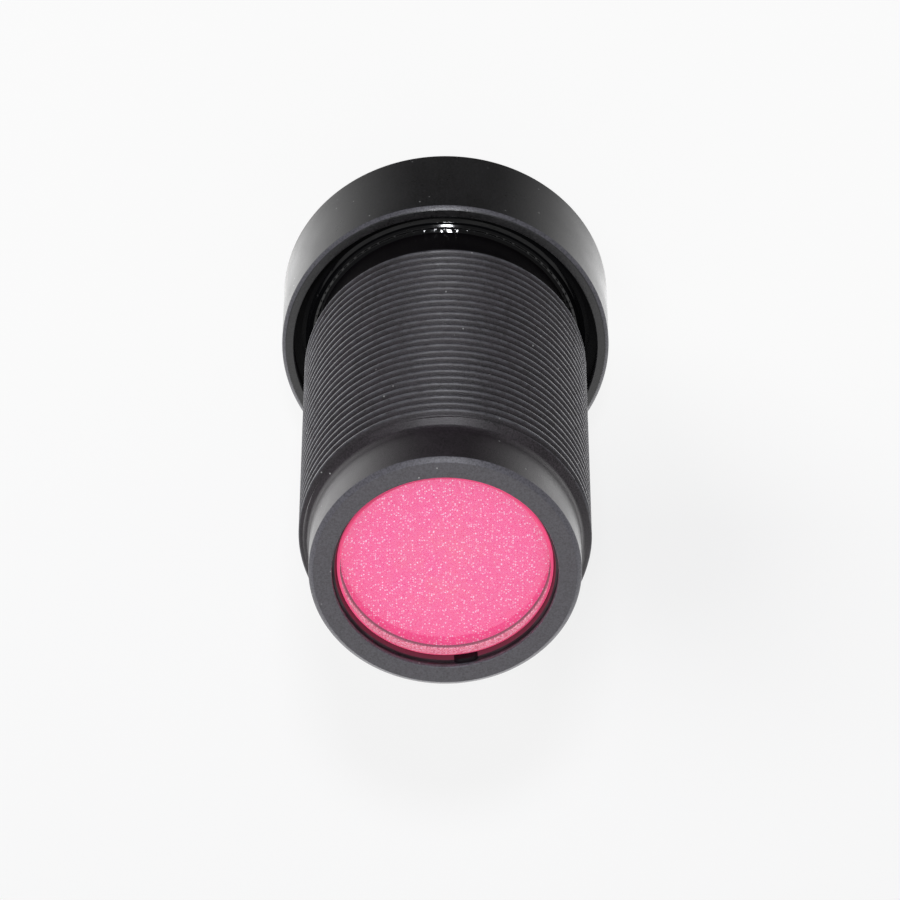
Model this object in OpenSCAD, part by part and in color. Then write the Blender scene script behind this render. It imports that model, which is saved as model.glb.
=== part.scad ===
// Board camera lens with a fine M12 thread, a wide front head and a glued-in
// infrared-cut filter at its rear. All sizes are in millimetres.
//
// The lens stands on the front face of its head: the optical axis is Z, light
// comes in at z = 0 and leaves through the filter at the top.

/* [Front head] */
// How far the head stands out beyond the thread, all round
head_step = 1.0; // [0.8:0.05:3]
// Length of the head along the axis
head_len = 4.4; // [3.7:0.1:8]
// Wall of the head round its rear recess
rim_wall = 0.5; // [0.35:0.05:0.6]
// Depth of the rear recess, from the rim to the ledge that holds the sealant
recess_depth = 1.0; // [0.7:0.05:1.2]
// Width of the ledge that holds the sealant
ledge_w = 0.28; // [0.2:0.02:0.35]
// Bevel inside the rear rim
rim_bevel = 0.25; // [0.1:0.05:0.3]
// Bevel on the outer edges of the head
head_bevel = 0.12; // [0.05:0.01:0.15]
// Thickness of the lip in front of the barrel
lip_len = 1.2; // [0.8:0.1:1.4]
// How far the lip reaches in over the pocket of the front ring
lip_overlap = 0.05; // [0.02:0.01:0.3]
// Flare of the light cone in the lip, per side
mouth_flare = 0.65; // [0.3:0.05:0.8]

/* [Barrel outside] */
// Nominal diameter of the mounting thread
thread_d = 12; // [10:0.1:16]
// Pitch of the mounting thread
thread_pitch = 0.5; // [0.35:0.05:0.75]
// Depth of the relief between the head and the thread
relief_depth = 0.5; // [0.4:0.05:0.6]
// Length of the relief that shows behind the head
relief_len = 1.75; // [0.5:0.05:4]
// Length of the chamfer at the rear end of the thread
thread_chamfer = 0.25; // [0.1:0.05:0.6]
// Step from the thread down to the plain neck behind it
neck_step = 0.45; // [0.3:0.05:0.6]
// Length of the plain neck
neck_len = 2.4; // [1.8:0.1:5]
// Bevel at the rear edge of the neck
neck_bevel = 0.2; // [0.1:0.05:0.4]
// How far the sealant's ledge lies behind the barrel's flange
flange_drop = 0.2; // [0.1:0.05:0.3]

/* [Barrel inside] */
// Wall between the thread's outer diameter and the bore that holds the glass
barrel_wall = 1.4; // [1.1:0.05:2]
// Width of the step that the front retaining ring comes down on
ring_step = 0.6; // [0.4:0.05:0.7]
// Depth of the pocket for the front retaining ring
ring_pocket_len = 1.7; // [1.5:0.05:2]
// Width of the shoulder behind the last lens
shoulder_w = 0.7; // [0.4:0.05:1]
// Room between the shoulder and the filter's seat
back_gap = 1.85; // [1.2:0.05:6]
// Wall of the neck round the filter pocket
rear_wall = 0.95; // [0.7:0.05:1.1]

/* [Filter] */
// Gap for adhesive all round the filter glass
filter_gap = 0.2; // [0.1:0.02:0.3]
// Thickness of the filter glass
filter_t = 1.1; // [0.5:0.05:2]
// How far the filter's outer face lies below the rear face
filter_recess = 0.45; // [0.2:0.05:0.9]
// Bevel on the edges of the filter glass
filter_bevel = 0.12; // [0.05:0.01:0.2]
// How far the adhesive stays below the filter's outer face
adhesive_drop = 0.25; // [0.05:0.05:0.35]
// How far the adhesive dab stands above the filter's outer face
dab_rise = 0.1; // [0.02:0.02:0.15]
// Width of the adhesive dab on the filter's edge
dab_w = 0.75; // [0.4:0.05:1.5]
// Angle of the dab round the axis
dab_angle = 97; // [0:1:360]

/* [Glass] */
// Flat ground rim outside the clear aperture of each spherical face
ground_rim = 0.6; // [0.4:0.05:0.9]
// Edge length of the front lens
front_lens_edge = 1.5; // [1:0.1:3]
// Rise of the front lens's convex front face
front_lens_rise = 0.93; // [0.4:0.01:1.3]
// Depth of the front lens's concave rear face
front_lens_hollow = 0.58; // [0.2:0.01:0.9]
// Edge length of both crowns
crown_edge = 1.3; // [0.8:0.1:3]
// Rise of the outer convex face of both crowns
crown_rise = 1.14; // [0.5:0.01:1.5]
// Rise of the cemented face of both doublets
cement_rise = 0.45; // [0.2:0.01:0.7]
// Edge length of both flints
flint_edge = 2.2; // [1.8:0.1:4]
// Depth of the concave face of both flints
flint_hollow = 0.88; // [0.4:0.01:1.1]
// Extra ground rim round the concave face of both flints
flint_rim = 1.08; // [0.6:0.02:1.6]
// Edge length of the rear lens
rear_lens_edge = 1.2; // [0.8:0.1:3]
// Rise of the rear lens's convex front face
rear_lens_rise = 0.4; // [0.2:0.01:0.7]
// Rise of the rear lens's convex rear face
rear_lens_back_rise = 0.54; // [0.2:0.01:0.9]

/* [Spacers and stop] */
// Length of the front retaining ring
ring_len = 1.4; // [1:0.05:1.45]
// Width of the two spanner slots in the ring
slot_w = 0.8; // [0.5:0.1:1.2]
// Depth of the two spanner slots
slot_depth = 0.5; // [0.3:0.1:0.7]
// Thickness of each thin light mask
mask_t = 0.1; // [0.05:0.01:0.2]
// Width of glass rim that each thin light mask covers beyond the ground rim
mask_lip = 0.1; // [0.02:0.02:0.3]
// Length of the front spacer
front_spacer_len = 1.4; // [1.1:0.1:3]
// Length of the spacer on each side of the stop
stop_spacer_len = 0.9; // [0.6:0.1:1.5]
// Thickness of the aperture stop
stop_t = 0.2; // [0.1:0.05:0.4]
// Diameter of the hole in the aperture stop
stop_hole_d = 4.4; // [2:0.1:5.4]
// Length of the rear spacer
rear_spacer_len = 2.2; // [1.8:0.1:4]

/* [Fits] */
// Radial clearance of each lens, mask and spacer in the bore
seat_fit = 0.02; // [0.01:0.01:0.05]
// Radial clearance between the flange and the head
flange_fit = 0.02; // [0.01:0.01:0.05]
// Film left free round each adhesive joint and cemented face
bond_gap = 0.01; // [0.005:0.005:0.02]

/* [Hidden] */
$fn = 128;

// Colours
anodised = [0.07, 0.07, 0.08];
mask_black = [0.03, 0.03, 0.03];
sealant_black = [0.02, 0.02, 0.025];
lens_glass = [0.75, 0.86, 0.92, 0.5];
filter_pink = [0.95, 0.42, 0.58];

// Radii of the head, from the outside in
head_r = thread_d / 2 + head_step;
recess_r = head_r - rim_wall;
hood_bore_r = recess_r - ledge_w;

// Radii of the barrel
thread_r = thread_d / 2;
flange_r = hood_bore_r - flange_fit;
relief_r = thread_r - relief_depth;
neck_r = thread_r - neck_step;
bore_r = thread_r - barrel_wall;
ring_pocket_r = bore_r + ring_step;
passage_r = bore_r - shoulder_w;
pocket_r = neck_r - rear_wall;
throat_r = ring_pocket_r - lip_overlap;
mouth_r = throat_r + mouth_flare;

// Radii of what fits in the barrel
seat_r = bore_r - seat_fit;
clear_r = seat_r - ground_rim;
mask_r = clear_r - mask_lip;
flint_r = clear_r - flint_rim;
filter_r = pocket_r - filter_gap;

// Heights of the glass stack, one piece seated on the next
lip_z = lip_len;
lens1_z0 = lip_z + ring_pocket_len;
mask1_z0 = lens1_z0 + front_lens_edge;
spacer1_z0 = mask1_z0 + mask_t;
crown1_z0 = spacer1_z0 + front_spacer_len;
cement1_z = crown1_z0 + crown_edge;
spacer2_z0 = cement1_z + flint_edge;
stop_z0 = spacer2_z0 + stop_spacer_len;
spacer3_z0 = stop_z0 + stop_t;
flint2_z0 = spacer3_z0 + stop_spacer_len;
cement2_z = flint2_z0 + flint_edge;
mask2_z0 = cement2_z + crown_edge;
spacer4_z0 = mask2_z0 + mask_t;
lens2_z0 = spacer4_z0 + rear_spacer_len;
shoulder_z = lens2_z0 + rear_lens_edge;
filter_z0 = shoulder_z + back_gap;
filter_z1 = filter_z0 + filter_t;

// Heights on the outside; the barrel is as long as the stack it holds
total_len = filter_z1 + filter_recess;
ledge_z = head_len - recess_depth;
flange_z = ledge_z - flange_drop;
neck_z = total_len - neck_len;
thread_z1 = neck_z - thread_chamfer;
thread_z0 = head_len + relief_len;

// Sixty-degree thread form with flat crests and roots; a whole number of grooves fits
thread_h = 0.54 * thread_pitch;
crest_flat = thread_pitch / 8;
flank_len = thread_h * tan(30);
root_r = thread_r - thread_h;
thread_turns = floor((thread_z1 - thread_z0) / thread_pitch + 0.001);

// Small edge breaks
edge_break = 0.08;
glass_break = 0.1;
knife_edge = 0.05;

// Sealant bead: share of the recess that it fills, and the depth of its meniscus
bead_fill = 0.45;
meniscus_depth = 0.2;

// Radius of the sphere that rises by h over a circle of radius a
function sphere_r(a, h) = (a * a + h * h) / (2 * h);

// Points of one thread groove that starts at height z
function groove(z) = [
    [thread_r, z + crest_flat / 2],
    [root_r, z + crest_flat / 2 + flank_len],
    [root_r, z + thread_pitch - crest_flat / 2 - flank_len],
    [thread_r, z + thread_pitch - crest_flat / 2]
];

// Points of all thread grooves, from the head towards the rear
thread_points = [
    for (i = [0 : thread_turns - 1])
        for (p = groove(thread_z0 + i * thread_pitch)) p
];

// Turned ring with a straight or tapered hole, from z0 to z1
module turned_ring(r_out, z0, z1, r_in0, r_in1, corner) {
    rotate_extrude()
        polygon([
            [r_in0, z0],
            [r_out - corner, z0],
            [r_out, z0 + corner],
            [r_out, z1 - corner],
            [r_out - corner, z1],
            [r_in1, z1]
        ]);
}

// Flat glass disc with bevelled edges
module glass_disc(r, z0, z1, corner) {
    rotate_extrude()
        polygon([
            [0, z0],
            [r - corner, z0],
            [r, z0 + corner],
            [r, z1 - corner],
            [r - corner, z1],
            [0, z1]
        ]);
}

// Sphere that meets the plane z in a circle of radius a, and passes it by h;
// side is 1 where it passes upwards and -1 where it passes downwards
module lens_sphere(a, h, z, side) {
    r = sphere_r(a, h);
    translate([0, 0, z - side * (r - h)])
        sphere(r = r);
}

// Convex spherical face on the plane z
module dome(a, h, z, side) {
    intersection() {
        lens_sphere(a, h, z, side);
        translate([0, 0, side > 0 ? z : z - 2 * h])
            cylinder(r = a, h = 2 * h);
    }
}

// Concave spherical face in the plane z; side is the way that it looks
module hollow(a, h, z, side) {
    lens_sphere(a, h, z, -side);
}

module barrel() {
    color(anodised)
        rotate_extrude()
            polygon(concat(
                [
                    [ring_pocket_r, lip_z],
                    [flange_r - edge_break, lip_z],
                    [flange_r, lip_z + edge_break],
                    [flange_r, flange_z],
                    [relief_r, flange_z],
                    [relief_r, thread_z0 - relief_depth / 2],
                    [thread_r, thread_z0]
                ],
                thread_points,
                [
                    [thread_r, thread_z1],
                    [neck_r, neck_z],
                    [neck_r, total_len - neck_bevel],
                    [neck_r - neck_bevel, total_len],
                    [pocket_r + edge_break, total_len],
                    [pocket_r, total_len - edge_break],
                    [pocket_r, filter_z0],
                    [passage_r, filter_z0],
                    [passage_r, shoulder_z],
                    [bore_r, shoulder_z],
                    [bore_r, lens1_z0],
                    [ring_pocket_r, lens1_z0]
                ]
            ));
}

module front_hood() {
    color(anodised)
        rotate_extrude()
            polygon([
                [mouth_r, 0],
                [head_r - head_bevel, 0],
                [head_r, head_bevel],
                [head_r, head_len - head_bevel],
                [head_r - head_bevel, head_len],
                [recess_r + rim_bevel, head_len],
                [recess_r, head_len - rim_bevel],
                [recess_r, ledge_z],
                [hood_bore_r, ledge_z],
                [hood_bore_r, lip_z],
                [throat_r, lip_z]
            ]);
}

// Adhesive bead that locks the head to the barrel, with a hollow meniscus on top
module hood_sealant() {
    inner_r = relief_r + bond_gap;
    outer_r = recess_r - bond_gap;
    bead_top = ledge_z + bead_fill * recess_depth;
    chord = (outer_r - inner_r) / 2 - edge_break;
    curve_r = sphere_r(chord, meniscus_depth);
    color(sealant_black)
        difference() {
            rotate_extrude()
                polygon([
                    [inner_r, flange_z + bond_gap],
                    [hood_bore_r - bond_gap, flange_z + bond_gap],
                    [hood_bore_r - bond_gap, ledge_z + bond_gap],
                    [outer_r, ledge_z + bond_gap],
                    [outer_r, bead_top],
                    [inner_r, bead_top]
                ]);
            rotate_extrude()
                translate([(inner_r + outer_r) / 2, bead_top + curve_r - meniscus_depth])
                    circle(r = curve_r);
        }
}

module front_retaining_ring() {
    ring_z0 = lens1_z0 - ring_len;
    color(anodised)
        difference() {
            turned_ring(ring_pocket_r - seat_fit, ring_z0, lens1_z0,
                (ring_pocket_r + clear_r) / 2 + ring_step / 2, clear_r + knife_edge, edge_break);
            for (side = [0, 180])
                rotate([0, 0, side])
                    translate([clear_r, -slot_w / 2, ring_z0 - slot_depth])
                        cube([ring_pocket_r, slot_w, 2 * slot_depth]);
        }
}

module front_lens() {
    color(lens_glass)
        difference() {
            union() {
                glass_disc(seat_r, lens1_z0, mask1_z0, glass_break);
                dome(clear_r, front_lens_rise, lens1_z0, -1);
            }
            hollow(clear_r, front_lens_hollow, mask1_z0, 1);
        }
}

module front_light_mask() {
    color(mask_black)
        turned_ring(seat_r, mask1_z0, spacer1_z0, mask_r, mask_r, mask_t / 4);
}

module front_spacer() {
    color(anodised)
        turned_ring(seat_r, spacer1_z0, crown1_z0, clear_r, clear_r + knife_edge, edge_break);
}

module front_doublet_crown() {
    color(lens_glass)
        union() {
            glass_disc(seat_r, crown1_z0, cement1_z, glass_break);
            dome(clear_r, crown_rise, crown1_z0, -1);
            dome(clear_r, cement_rise, cement1_z, 1);
        }
}

module front_doublet_flint() {
    color(lens_glass)
        difference() {
            glass_disc(seat_r, cement1_z + bond_gap, spacer2_z0, glass_break);
            hollow(clear_r, cement_rise, cement1_z + bond_gap, -1);
            hollow(flint_r, flint_hollow, spacer2_z0, 1);
        }
}

module pre_stop_spacer() {
    color(anodised)
        turned_ring(seat_r, spacer2_z0, stop_z0, flint_r + ground_rim, flint_r, edge_break);
}

// Thin stop with a knife edge round its hole
module aperture_stop() {
    hole_r = stop_hole_d / 2;
    color(mask_black)
        rotate_extrude()
            polygon([
                [hole_r, stop_z0 + stop_t / 4],
                [hole_r + stop_t, stop_z0],
                [seat_r, stop_z0],
                [seat_r, spacer3_z0],
                [hole_r + stop_t, spacer3_z0],
                [hole_r, spacer3_z0 - stop_t / 4]
            ]);
}

module post_stop_spacer() {
    color(anodised)
        turned_ring(seat_r, spacer3_z0, flint2_z0, flint_r, flint_r + ground_rim, edge_break);
}

module rear_doublet_flint() {
    color(lens_glass)
        difference() {
            glass_disc(seat_r, flint2_z0, cement2_z - bond_gap, glass_break);
            hollow(flint_r, flint_hollow, flint2_z0, -1);
            hollow(clear_r, cement_rise, cement2_z - bond_gap, 1);
        }
}

module rear_doublet_crown() {
    color(lens_glass)
        union() {
            glass_disc(seat_r, cement2_z, mask2_z0, glass_break);
            dome(clear_r, cement_rise, cement2_z, -1);
            dome(clear_r, crown_rise, mask2_z0, 1);
        }
}

module rear_light_mask() {
    color(mask_black)
        turned_ring(seat_r, mask2_z0, spacer4_z0, clear_r + knife_edge, clear_r + knife_edge, mask_t / 4);
}

module rear_spacer() {
    color(anodised)
        turned_ring(seat_r, spacer4_z0, lens2_z0, clear_r + knife_edge, clear_r + knife_edge, edge_break);
}

module rear_lens() {
    color(lens_glass)
        union() {
            glass_disc(seat_r, lens2_z0, shoulder_z, glass_break);
            dome(clear_r, rear_lens_rise, lens2_z0, -1);
            dome(min(clear_r, passage_r) - knife_edge, rear_lens_back_rise, shoulder_z, 1);
        }
}

module ir_filter() {
    color(filter_pink)
        glass_disc(filter_r, filter_z0, filter_z1, filter_bevel);
}

// Adhesive round the edge of the filter, with one dab that stands up beside it
module filter_adhesive() {
    inner_r = filter_r + bond_gap;
    outer_r = pocket_r - bond_gap;
    color(sealant_black)
        union() {
            turned_ring(outer_r, filter_z0 + bond_gap, filter_z1 - adhesive_drop,
                inner_r, inner_r, knife_edge / 2);
            intersection() {
                turned_ring(outer_r, filter_z0 + bond_gap, filter_z1 + dab_rise,
                    inner_r, inner_r, knife_edge / 2);
                rotate([0, 0, dab_angle])
                    translate([inner_r / 2, -dab_w / 2, filter_z0])
                        cube([outer_r, dab_w, 2 * filter_t]);
            }
        }
}

barrel();
front_hood();
hood_sealant();
front_retaining_ring();
front_lens();
front_light_mask();
front_spacer();
front_doublet_crown();
front_doublet_flint();
pre_stop_spacer();
aperture_stop();
post_stop_spacer();
rear_doublet_flint();
rear_doublet_crown();
rear_light_mask();
rear_spacer();
rear_lens();
ir_filter();
filter_adhesive();
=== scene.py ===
"""Looks of a board camera lens: black anodised barrel and head, sealant bead and pink filter.

The lens stands on the front face of its head with its optical axis along Z. Sizes are in
millimetres, and each mesh is written in metres. The camera looks down on the rear end.
"""
import logging
import math
from dataclasses import dataclass
from enum import Enum
from typing import Any, Sequence, Union

import bmesh
import bpy
import numpy as np
from mathutils import Matrix, Vector


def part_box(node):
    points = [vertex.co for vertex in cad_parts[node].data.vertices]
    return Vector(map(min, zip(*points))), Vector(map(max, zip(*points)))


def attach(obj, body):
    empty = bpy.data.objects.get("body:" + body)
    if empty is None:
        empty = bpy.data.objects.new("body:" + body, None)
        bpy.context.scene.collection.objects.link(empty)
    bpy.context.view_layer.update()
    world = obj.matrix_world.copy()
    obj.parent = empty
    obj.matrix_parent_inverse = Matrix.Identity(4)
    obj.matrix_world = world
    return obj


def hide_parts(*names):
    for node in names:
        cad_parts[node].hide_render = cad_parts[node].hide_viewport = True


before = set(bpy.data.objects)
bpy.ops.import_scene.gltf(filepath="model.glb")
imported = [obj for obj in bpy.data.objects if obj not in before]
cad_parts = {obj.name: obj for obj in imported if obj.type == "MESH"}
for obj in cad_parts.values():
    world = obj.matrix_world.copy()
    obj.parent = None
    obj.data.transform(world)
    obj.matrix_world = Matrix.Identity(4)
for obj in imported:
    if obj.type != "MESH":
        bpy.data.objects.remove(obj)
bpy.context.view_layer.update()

LOG = logging.getLogger("lens")
MM = 0.001
WELD = 1e-8
FULL_TURN = 2.0 * math.pi
ROOT_BODY = "root"
PHOTO_WIDTH_PX = 900.0
SENSOR_WIDTH_MM = 36.0
# Clip distances in metres
CAMERA_NEAR = 0.01
CAMERA_FAR = 10.0
# Width of the step from the cells that carry a speck to those that don't
PICK_EDGE = 0.01

Number = Union[int, float]
Colour = tuple[float, float, float]
Span = tuple[float, float]
Wave = tuple[float, float, float]
BLACK: Colour = (0.0, 0.0, 0.0)
WHITE: Colour = (1.0, 1.0, 1.0)


class Slot(Enum):
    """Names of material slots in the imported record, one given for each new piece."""

    BARREL = "anodised_barrel"
    HEAD = "anodised_head"
    SEALANT = "black_sealant"
    GLUE = "filter_glue"
    GLASS = "optical_glass"
    FILTER = "filter_glass"


class Side(Enum):
    """Which way a spherical glass face bulges along the axis."""

    DOWN = -1
    UP = 1


class Value:
    """A number socket in a shader, with the arithmetic operators of Python."""

    def __init__(self, graph: "Graph", socket: Any) -> None:
        """Wraps an output socket.

        Args:
            graph: The graph that the socket belongs to.
            socket: The output socket that carries the number.
        """
        self.graph = graph
        self.socket = socket

    def __add__(self, other: "Operand") -> "Value":
        """Sum of this value and another."""
        return self.graph.math("ADD", self, other)

    def __radd__(self, other: Number) -> "Value":
        """Sum with a plain number on the left."""
        return self.graph.math("ADD", other, self)

    def __sub__(self, other: "Operand") -> "Value":
        """Difference of this value and another."""
        return self.graph.math("SUBTRACT", self, other)

    def __rsub__(self, other: Number) -> "Value":
        """Difference with a plain number on the left."""
        return self.graph.math("SUBTRACT", other, self)

    def __mul__(self, other: "Operand") -> "Value":
        """Product of this value and another."""
        return self.graph.math("MULTIPLY", self, other)

    def __rmul__(self, other: Number) -> "Value":
        """Product with a plain number on the left."""
        return self.graph.math("MULTIPLY", other, self)

    def __truediv__(self, other: "Operand") -> "Value":
        """Quotient of this value and another."""
        return self.graph.math("DIVIDE", self, other)

    def __pow__(self, other: "Operand") -> "Value":
        """This value raised to a power."""
        return self.graph.math("POWER", self, other)

    def ramp(self, low: Number, high: Number) -> "Value":
        """Rises from 0 at low to 1 at high, and is flat outside them.

        Args:
            low: Input that gives 0.
            high: Input that gives 1.

        Returns:
            The clamped linear ramp.
        """
        slope = self.graph.math("DIVIDE", self - low, high - low)
        return self.graph.math("MINIMUM", self.graph.math("MAXIMUM", slope, 0.0), 1.0)


Operand = Union[Value, Number]


class Graph:
    """The node tree of one material or world."""

    def __init__(self, tree: bpy.types.NodeTree) -> None:
        """Empties a node tree and keeps it.

        Args:
            tree: The tree to build in.
        """
        self.tree = tree
        self.tree.nodes.clear()

    def node(self, kind: str, settings: dict[str, Any], inputs: dict[Any, Any]) -> bpy.types.Node:
        """Adds a node, sets it up and fills its sockets.

        Args:
            kind: The node's type name.
            settings: Attributes to set before the sockets.
            inputs: Values, wrapped values or sockets, by socket name or number.

        Returns:
            The new node.
        """
        made = self.tree.nodes.new(kind)
        for key, setting in settings.items():
            setattr(made, key, setting)
        for key, given in inputs.items():
            socket = made.inputs[key]
            if isinstance(given, Value):
                self.tree.links.new(given.socket, socket)
            elif isinstance(given, bpy.types.NodeSocket):
                self.tree.links.new(given, socket)
            elif isinstance(given, tuple) and socket.type == "RGBA" and len(given) == 3:
                socket.default_value = (*given, 1.0)
            else:
                socket.default_value = given
        return made

    def math(self, operation: str, first: Operand, second: Operand = 0.0) -> Value:
        """Adds a Math node.

        Args:
            operation: The node's operation.
            first: Left operand.
            second: Right operand.

        Returns:
            The result as a value.
        """
        made = self.node("ShaderNodeMath", {"operation": operation}, {0: first, 1: second})
        return Value(self, made.outputs[0])

    def place(self) -> bpy.types.NodeSocket:
        """Object coordinates of the shaded point, in metres."""
        return self.node("ShaderNodeTexCoord", {}, {}).outputs["Object"]

    def axes(self, vector: bpy.types.NodeSocket) -> tuple[Value, Value, Value]:
        """Splits a vector into its three numbers."""
        split = self.node("ShaderNodeSeparateXYZ", {}, {0: vector})
        return Value(self, split.outputs[0]), Value(self, split.outputs[1]), Value(self, split.outputs[2])

    def radius(self, vector: bpy.types.NodeSocket) -> Value:
        """Distance of a point from the optical axis, in metres."""
        x, y, _ = self.axes(vector)
        return self.math("SQRT", x * x + y * y)

    def noise(self, vector: bpy.types.NodeSocket, size_mm: float, detail: float = 2.0) -> Value:
        """Smooth noise from 0 to 1.

        Args:
            vector: Point at which the noise is read, in metres.
            size_mm: Size of one blot of the noise.
            detail: Number of finer layers added to it.

        Returns:
            The noise value.
        """
        inputs = {"Vector": vector, "Scale": 1.0 / (size_mm * MM), "Detail": detail}
        return Value(self, self.node("ShaderNodeTexNoise", {}, inputs).outputs[0])

    def cells(self, vector: bpy.types.NodeSocket, size_mm: float) -> tuple[Value, Value]:
        """Distance to the nearest random point, and a random number for that point.

        Args:
            vector: Point at which the cells are read, in metres.
            size_mm: Spacing of the random points.

        Returns:
            The distance as a share of the spacing, and the random number.
        """
        made = self.node("ShaderNodeTexVoronoi", {}, {"Vector": vector, "Scale": 1.0 / (size_mm * MM)})
        pick = self.node("ShaderNodeSeparateColor", {}, {0: made.outputs["Color"]})
        return Value(self, made.outputs["Distance"]), Value(self, pick.outputs[0])

    def blend(self, factor: Operand, first: Any, second: Any) -> bpy.types.NodeSocket:
        """Mixes two colours.

        Args:
            factor: Share of the second colour.
            first: Colour or colour socket at 0.
            second: Colour or colour socket at 1.

        Returns:
            The mixed colour's socket.
        """
        made = self.node("ShaderNodeMix", {"data_type": "RGBA"}, {"Factor": factor, 6: first, 7: second})
        return made.outputs[2]

    def bump(self, height: Value, depth_mm: float) -> bpy.types.NodeSocket:
        """Turns a height into a bent normal.

        Args:
            height: Height from 0 to 1.
            depth_mm: Real depth of a height of 1.

        Returns:
            The normal's socket.
        """
        inputs = {"Height": height, "Distance": depth_mm * MM, "Strength": 1.0}
        return self.node("ShaderNodeBump", {}, inputs).outputs[0]

    def ray(self, kind: str) -> Value:
        """Number that is 1 for one kind of ray, by its name in the Light Path node."""
        return Value(self, self.node("ShaderNodeLightPath", {}, {}).outputs[kind])

    def principled(self, inputs: dict[str, Any]) -> None:
        """Adds the Principled shader and links it to the output.

        Args:
            inputs: Values and sockets by socket name.
        """
        self.surface(self.node("ShaderNodeBsdfPrincipled", {}, inputs))

    def surface(self, shader: bpy.types.Node, kind: str = "ShaderNodeOutputMaterial") -> None:
        """Links a shader to the output.

        Args:
            shader: Node whose first output is the finished shader.
            kind: The output node's type name.
        """
        self.node(kind, {}, {"Surface": shader.outputs[0]})


def new_graph(name: str) -> tuple[bpy.types.Material, Graph]:
    """Makes an empty node material.

    Args:
        name: The material's name.

    Returns:
        The material and its graph.
    """
    material = bpy.data.materials.new(name)
    material.use_nodes = True
    return material, Graph(material.node_tree)


@dataclass(frozen=True)
class Anodised:
    """Black anodised aluminium with a fine blasted grain, pale specks, paler crests that are partly wear
    and partly painted highlight, paler bands of painted highlight mottled like scuffs, and painted shade
    below a height.
    """

    name: str
    colour: Colour = (0.019, 0.0145, 0.0185)
    roughness: float = 0.4
    roughness_spread: float = 0.2
    shade_spread: float = 0.75
    grain_mm: float = 0.06
    grain_depth_mm: float = 0.006
    cloud_mm: float = 1.6
    cloud_detail: float = 4.0
    cloud_share: float = 0.25
    shade_span: Span = (0.35, 0.65)
    speck_mm: float = 0.36
    speck_edge: Span = (0.13, 0.04)
    speck_share: float = 0.12
    speck_colour: Colour = (0.35, 0.35, 0.35)
    specular: float = 0.64
    # Paler thread crests: partly wear, partly a painted highlight along the crest edges
    worn_and_highlight_radius_mm: float = 0.0
    worn_and_highlight_depth_mm: float = 0.08
    worn_and_highlight_colour: Colour = (0.085, 0.085, 0.098)
    worn_and_highlight_patch_mm: float = 0.3
    worn_and_highlight_patch_span: Span = (0.2, 0.6)
    # Paler bands on the bevels: a painted highlight, mottled like scuffs
    highlight_bands_mm: tuple[Span, ...] = ()
    highlight_scuff_mm: float = 0.08
    highlight_scuff_detail: float = 3.0
    highlight_scuff_span: Span = (0.12, 0.62)
    highlight_band_fade_mm: float = 0.02
    highlight_scuff_colour: Colour = (0.1, 0.098, 0.115)
    # Painted shade: darker below a height, on the barrel's relief just above the head
    painted_shade_top_mm: float = 0.0
    painted_shade_fade_mm: float = 0.25
    painted_shade_colour: Colour = (0.004, 0.003, 0.004)

    def material(self) -> bpy.types.Material:
        """Builds the material from grain, specks, wear, painted highlights and painted shade that read
        Object coordinates.

        Returns:
            The finished material.
        """
        made, graph = new_graph(self.name)
        place = graph.place()
        grain = graph.noise(place, self.grain_mm)
        cloud = graph.noise(place, self.cloud_mm, self.cloud_detail)
        shade = (cloud * self.cloud_share + grain * (1.0 - self.cloud_share)).ramp(*self.shade_span)
        darker = tuple(part * (1.0 - self.shade_spread) for part in self.colour)
        lighter = tuple(part * (1.0 + self.shade_spread) for part in self.colour)
        colour = self._wear_and_painted_light(graph, place, graph.blend(shade, darker, lighter))
        distance, pick = graph.cells(place, self.speck_mm)
        rare = 1.0 - self.speck_share
        speck = distance.ramp(*self.speck_edge) * pick.ramp(rare - PICK_EDGE, rare)
        graph.principled(
            {
                "Base Color": graph.blend(speck, colour, self.speck_colour),
                "Roughness": (grain + cloud - 1.0) * self.roughness_spread + self.roughness,
                "Specular IOR Level": self.specular,
                "Normal": graph.bump(grain, self.grain_depth_mm),
            }
        )
        return made

    def _wear_and_painted_light(
        self, graph: Graph, place: bpy.types.NodeSocket, colour: bpy.types.NodeSocket
    ) -> bpy.types.NodeSocket:
        """Adds the paler crests, partly wear and partly painted highlight, the paler bands of painted
        highlight mottled like scuffs, and the painted shade in the relief over the head.

        Args:
            graph: The material's graph.
            place: Point that is shaded.
            colour: Colour without wear or painted light and shade.

        Returns:
            The colour's socket.
        """
        _, _, height = graph.axes(place)
        # Painted shade in the relief over the head
        if self.painted_shade_top_mm > 0.0:
            relief_shade = height.ramp((self.painted_shade_top_mm + self.painted_shade_fade_mm) * MM, self.painted_shade_top_mm * MM)
            colour = graph.blend(relief_shade, colour, self.painted_shade_colour)
        # Paler crests: partly wear, partly painted highlight
        if self.worn_and_highlight_radius_mm > 0.0:
            inner = (self.worn_and_highlight_radius_mm - self.worn_and_highlight_depth_mm) * MM
            crest = graph.radius(place).ramp(inner, self.worn_and_highlight_radius_mm * MM)
            patches = graph.noise(place, self.worn_and_highlight_patch_mm).ramp(*self.worn_and_highlight_patch_span)
            colour = graph.blend(crest * patches, colour, self.worn_and_highlight_colour)
        # Painted highlight on the bevels, mottled like scuffs
        highlight_scuffs = graph.noise(place, self.highlight_scuff_mm, self.highlight_scuff_detail).ramp(*self.highlight_scuff_span)
        for low, high in self.highlight_bands_mm:
            rise = height.ramp((low - self.highlight_band_fade_mm) * MM, low * MM)
            fall = height.ramp((high + self.highlight_band_fade_mm) * MM, high * MM)
            colour = graph.blend(rise * fall * highlight_scuffs, colour, self.highlight_scuff_colour)
        return colour


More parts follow.
